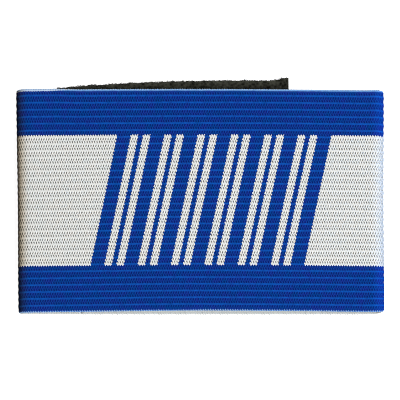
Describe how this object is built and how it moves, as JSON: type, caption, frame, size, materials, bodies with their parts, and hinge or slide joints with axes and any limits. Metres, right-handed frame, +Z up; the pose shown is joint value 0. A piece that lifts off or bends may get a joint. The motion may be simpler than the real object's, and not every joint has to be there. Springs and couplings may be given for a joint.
{
  "type": "captain armband",
  "caption": "Blue and white ribbed elastic armband, 80 mm wide, closed into a flat loop by a black hook-and-loop strap inside its back.",
  "frame": {"origin": "middle of the webbing's underside, on the crest of its middle rib, where the flattened loop lies on a surface", "axes": "+X along the flattened loop, from the end where the strap is sewn towards its free end; +Y across the webbing, towards the selvage that the askew strap sticks out of; +Z up, out of the printed front"},
  "size_m": [0.1352, 0.0859, 0.0125],
  "materials": {
    "elastic_webbing": "ribbed polyester elastic, white, printed blue",
    "loop_tape": "black brushed nylon loop",
    "hook_tape": "black nylon hook"
  },
  "bodies": {
    "root": {"elastic_band": "elastic_webbing", "loop_strap": "loop_tape", "hook_patch": "hook_tape"}
  },
  "joints": []
}
